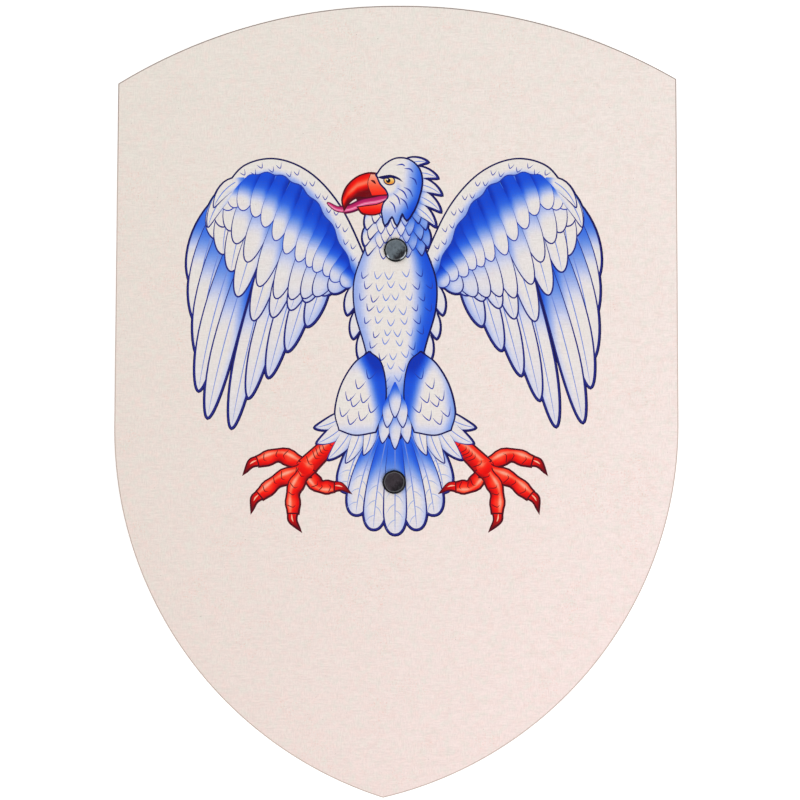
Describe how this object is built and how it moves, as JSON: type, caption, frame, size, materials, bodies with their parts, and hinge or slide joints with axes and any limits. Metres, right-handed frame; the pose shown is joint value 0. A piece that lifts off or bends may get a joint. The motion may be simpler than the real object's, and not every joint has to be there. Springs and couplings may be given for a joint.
{
  "type": "toy wooden shield",
  "caption": "Flat heater-shaped plywood shield for a child, with a printed front, a wooden bridge grip on its back and round-headed screws.",
  "frame": {"origin": "on the surface that the grip's flat back rests on, under the middle of the board's outline", "axes": "+Y to the top of the shield, +X to its right as seen from the printed front, +Z out of the printed front"},
  "size_m": [0.285, 0.4, 0.0487],
  "materials": {
    "printed_board": "satin",
    "plain_wood": "satin",
    "black_metal": "satin"
  },
  "bodies": {
    "root": {"board": "printed_board", "grip": "plain_wood", "screw_upper": "black_metal", "screw_lower": "black_metal"}
  },
  "joints": []
}
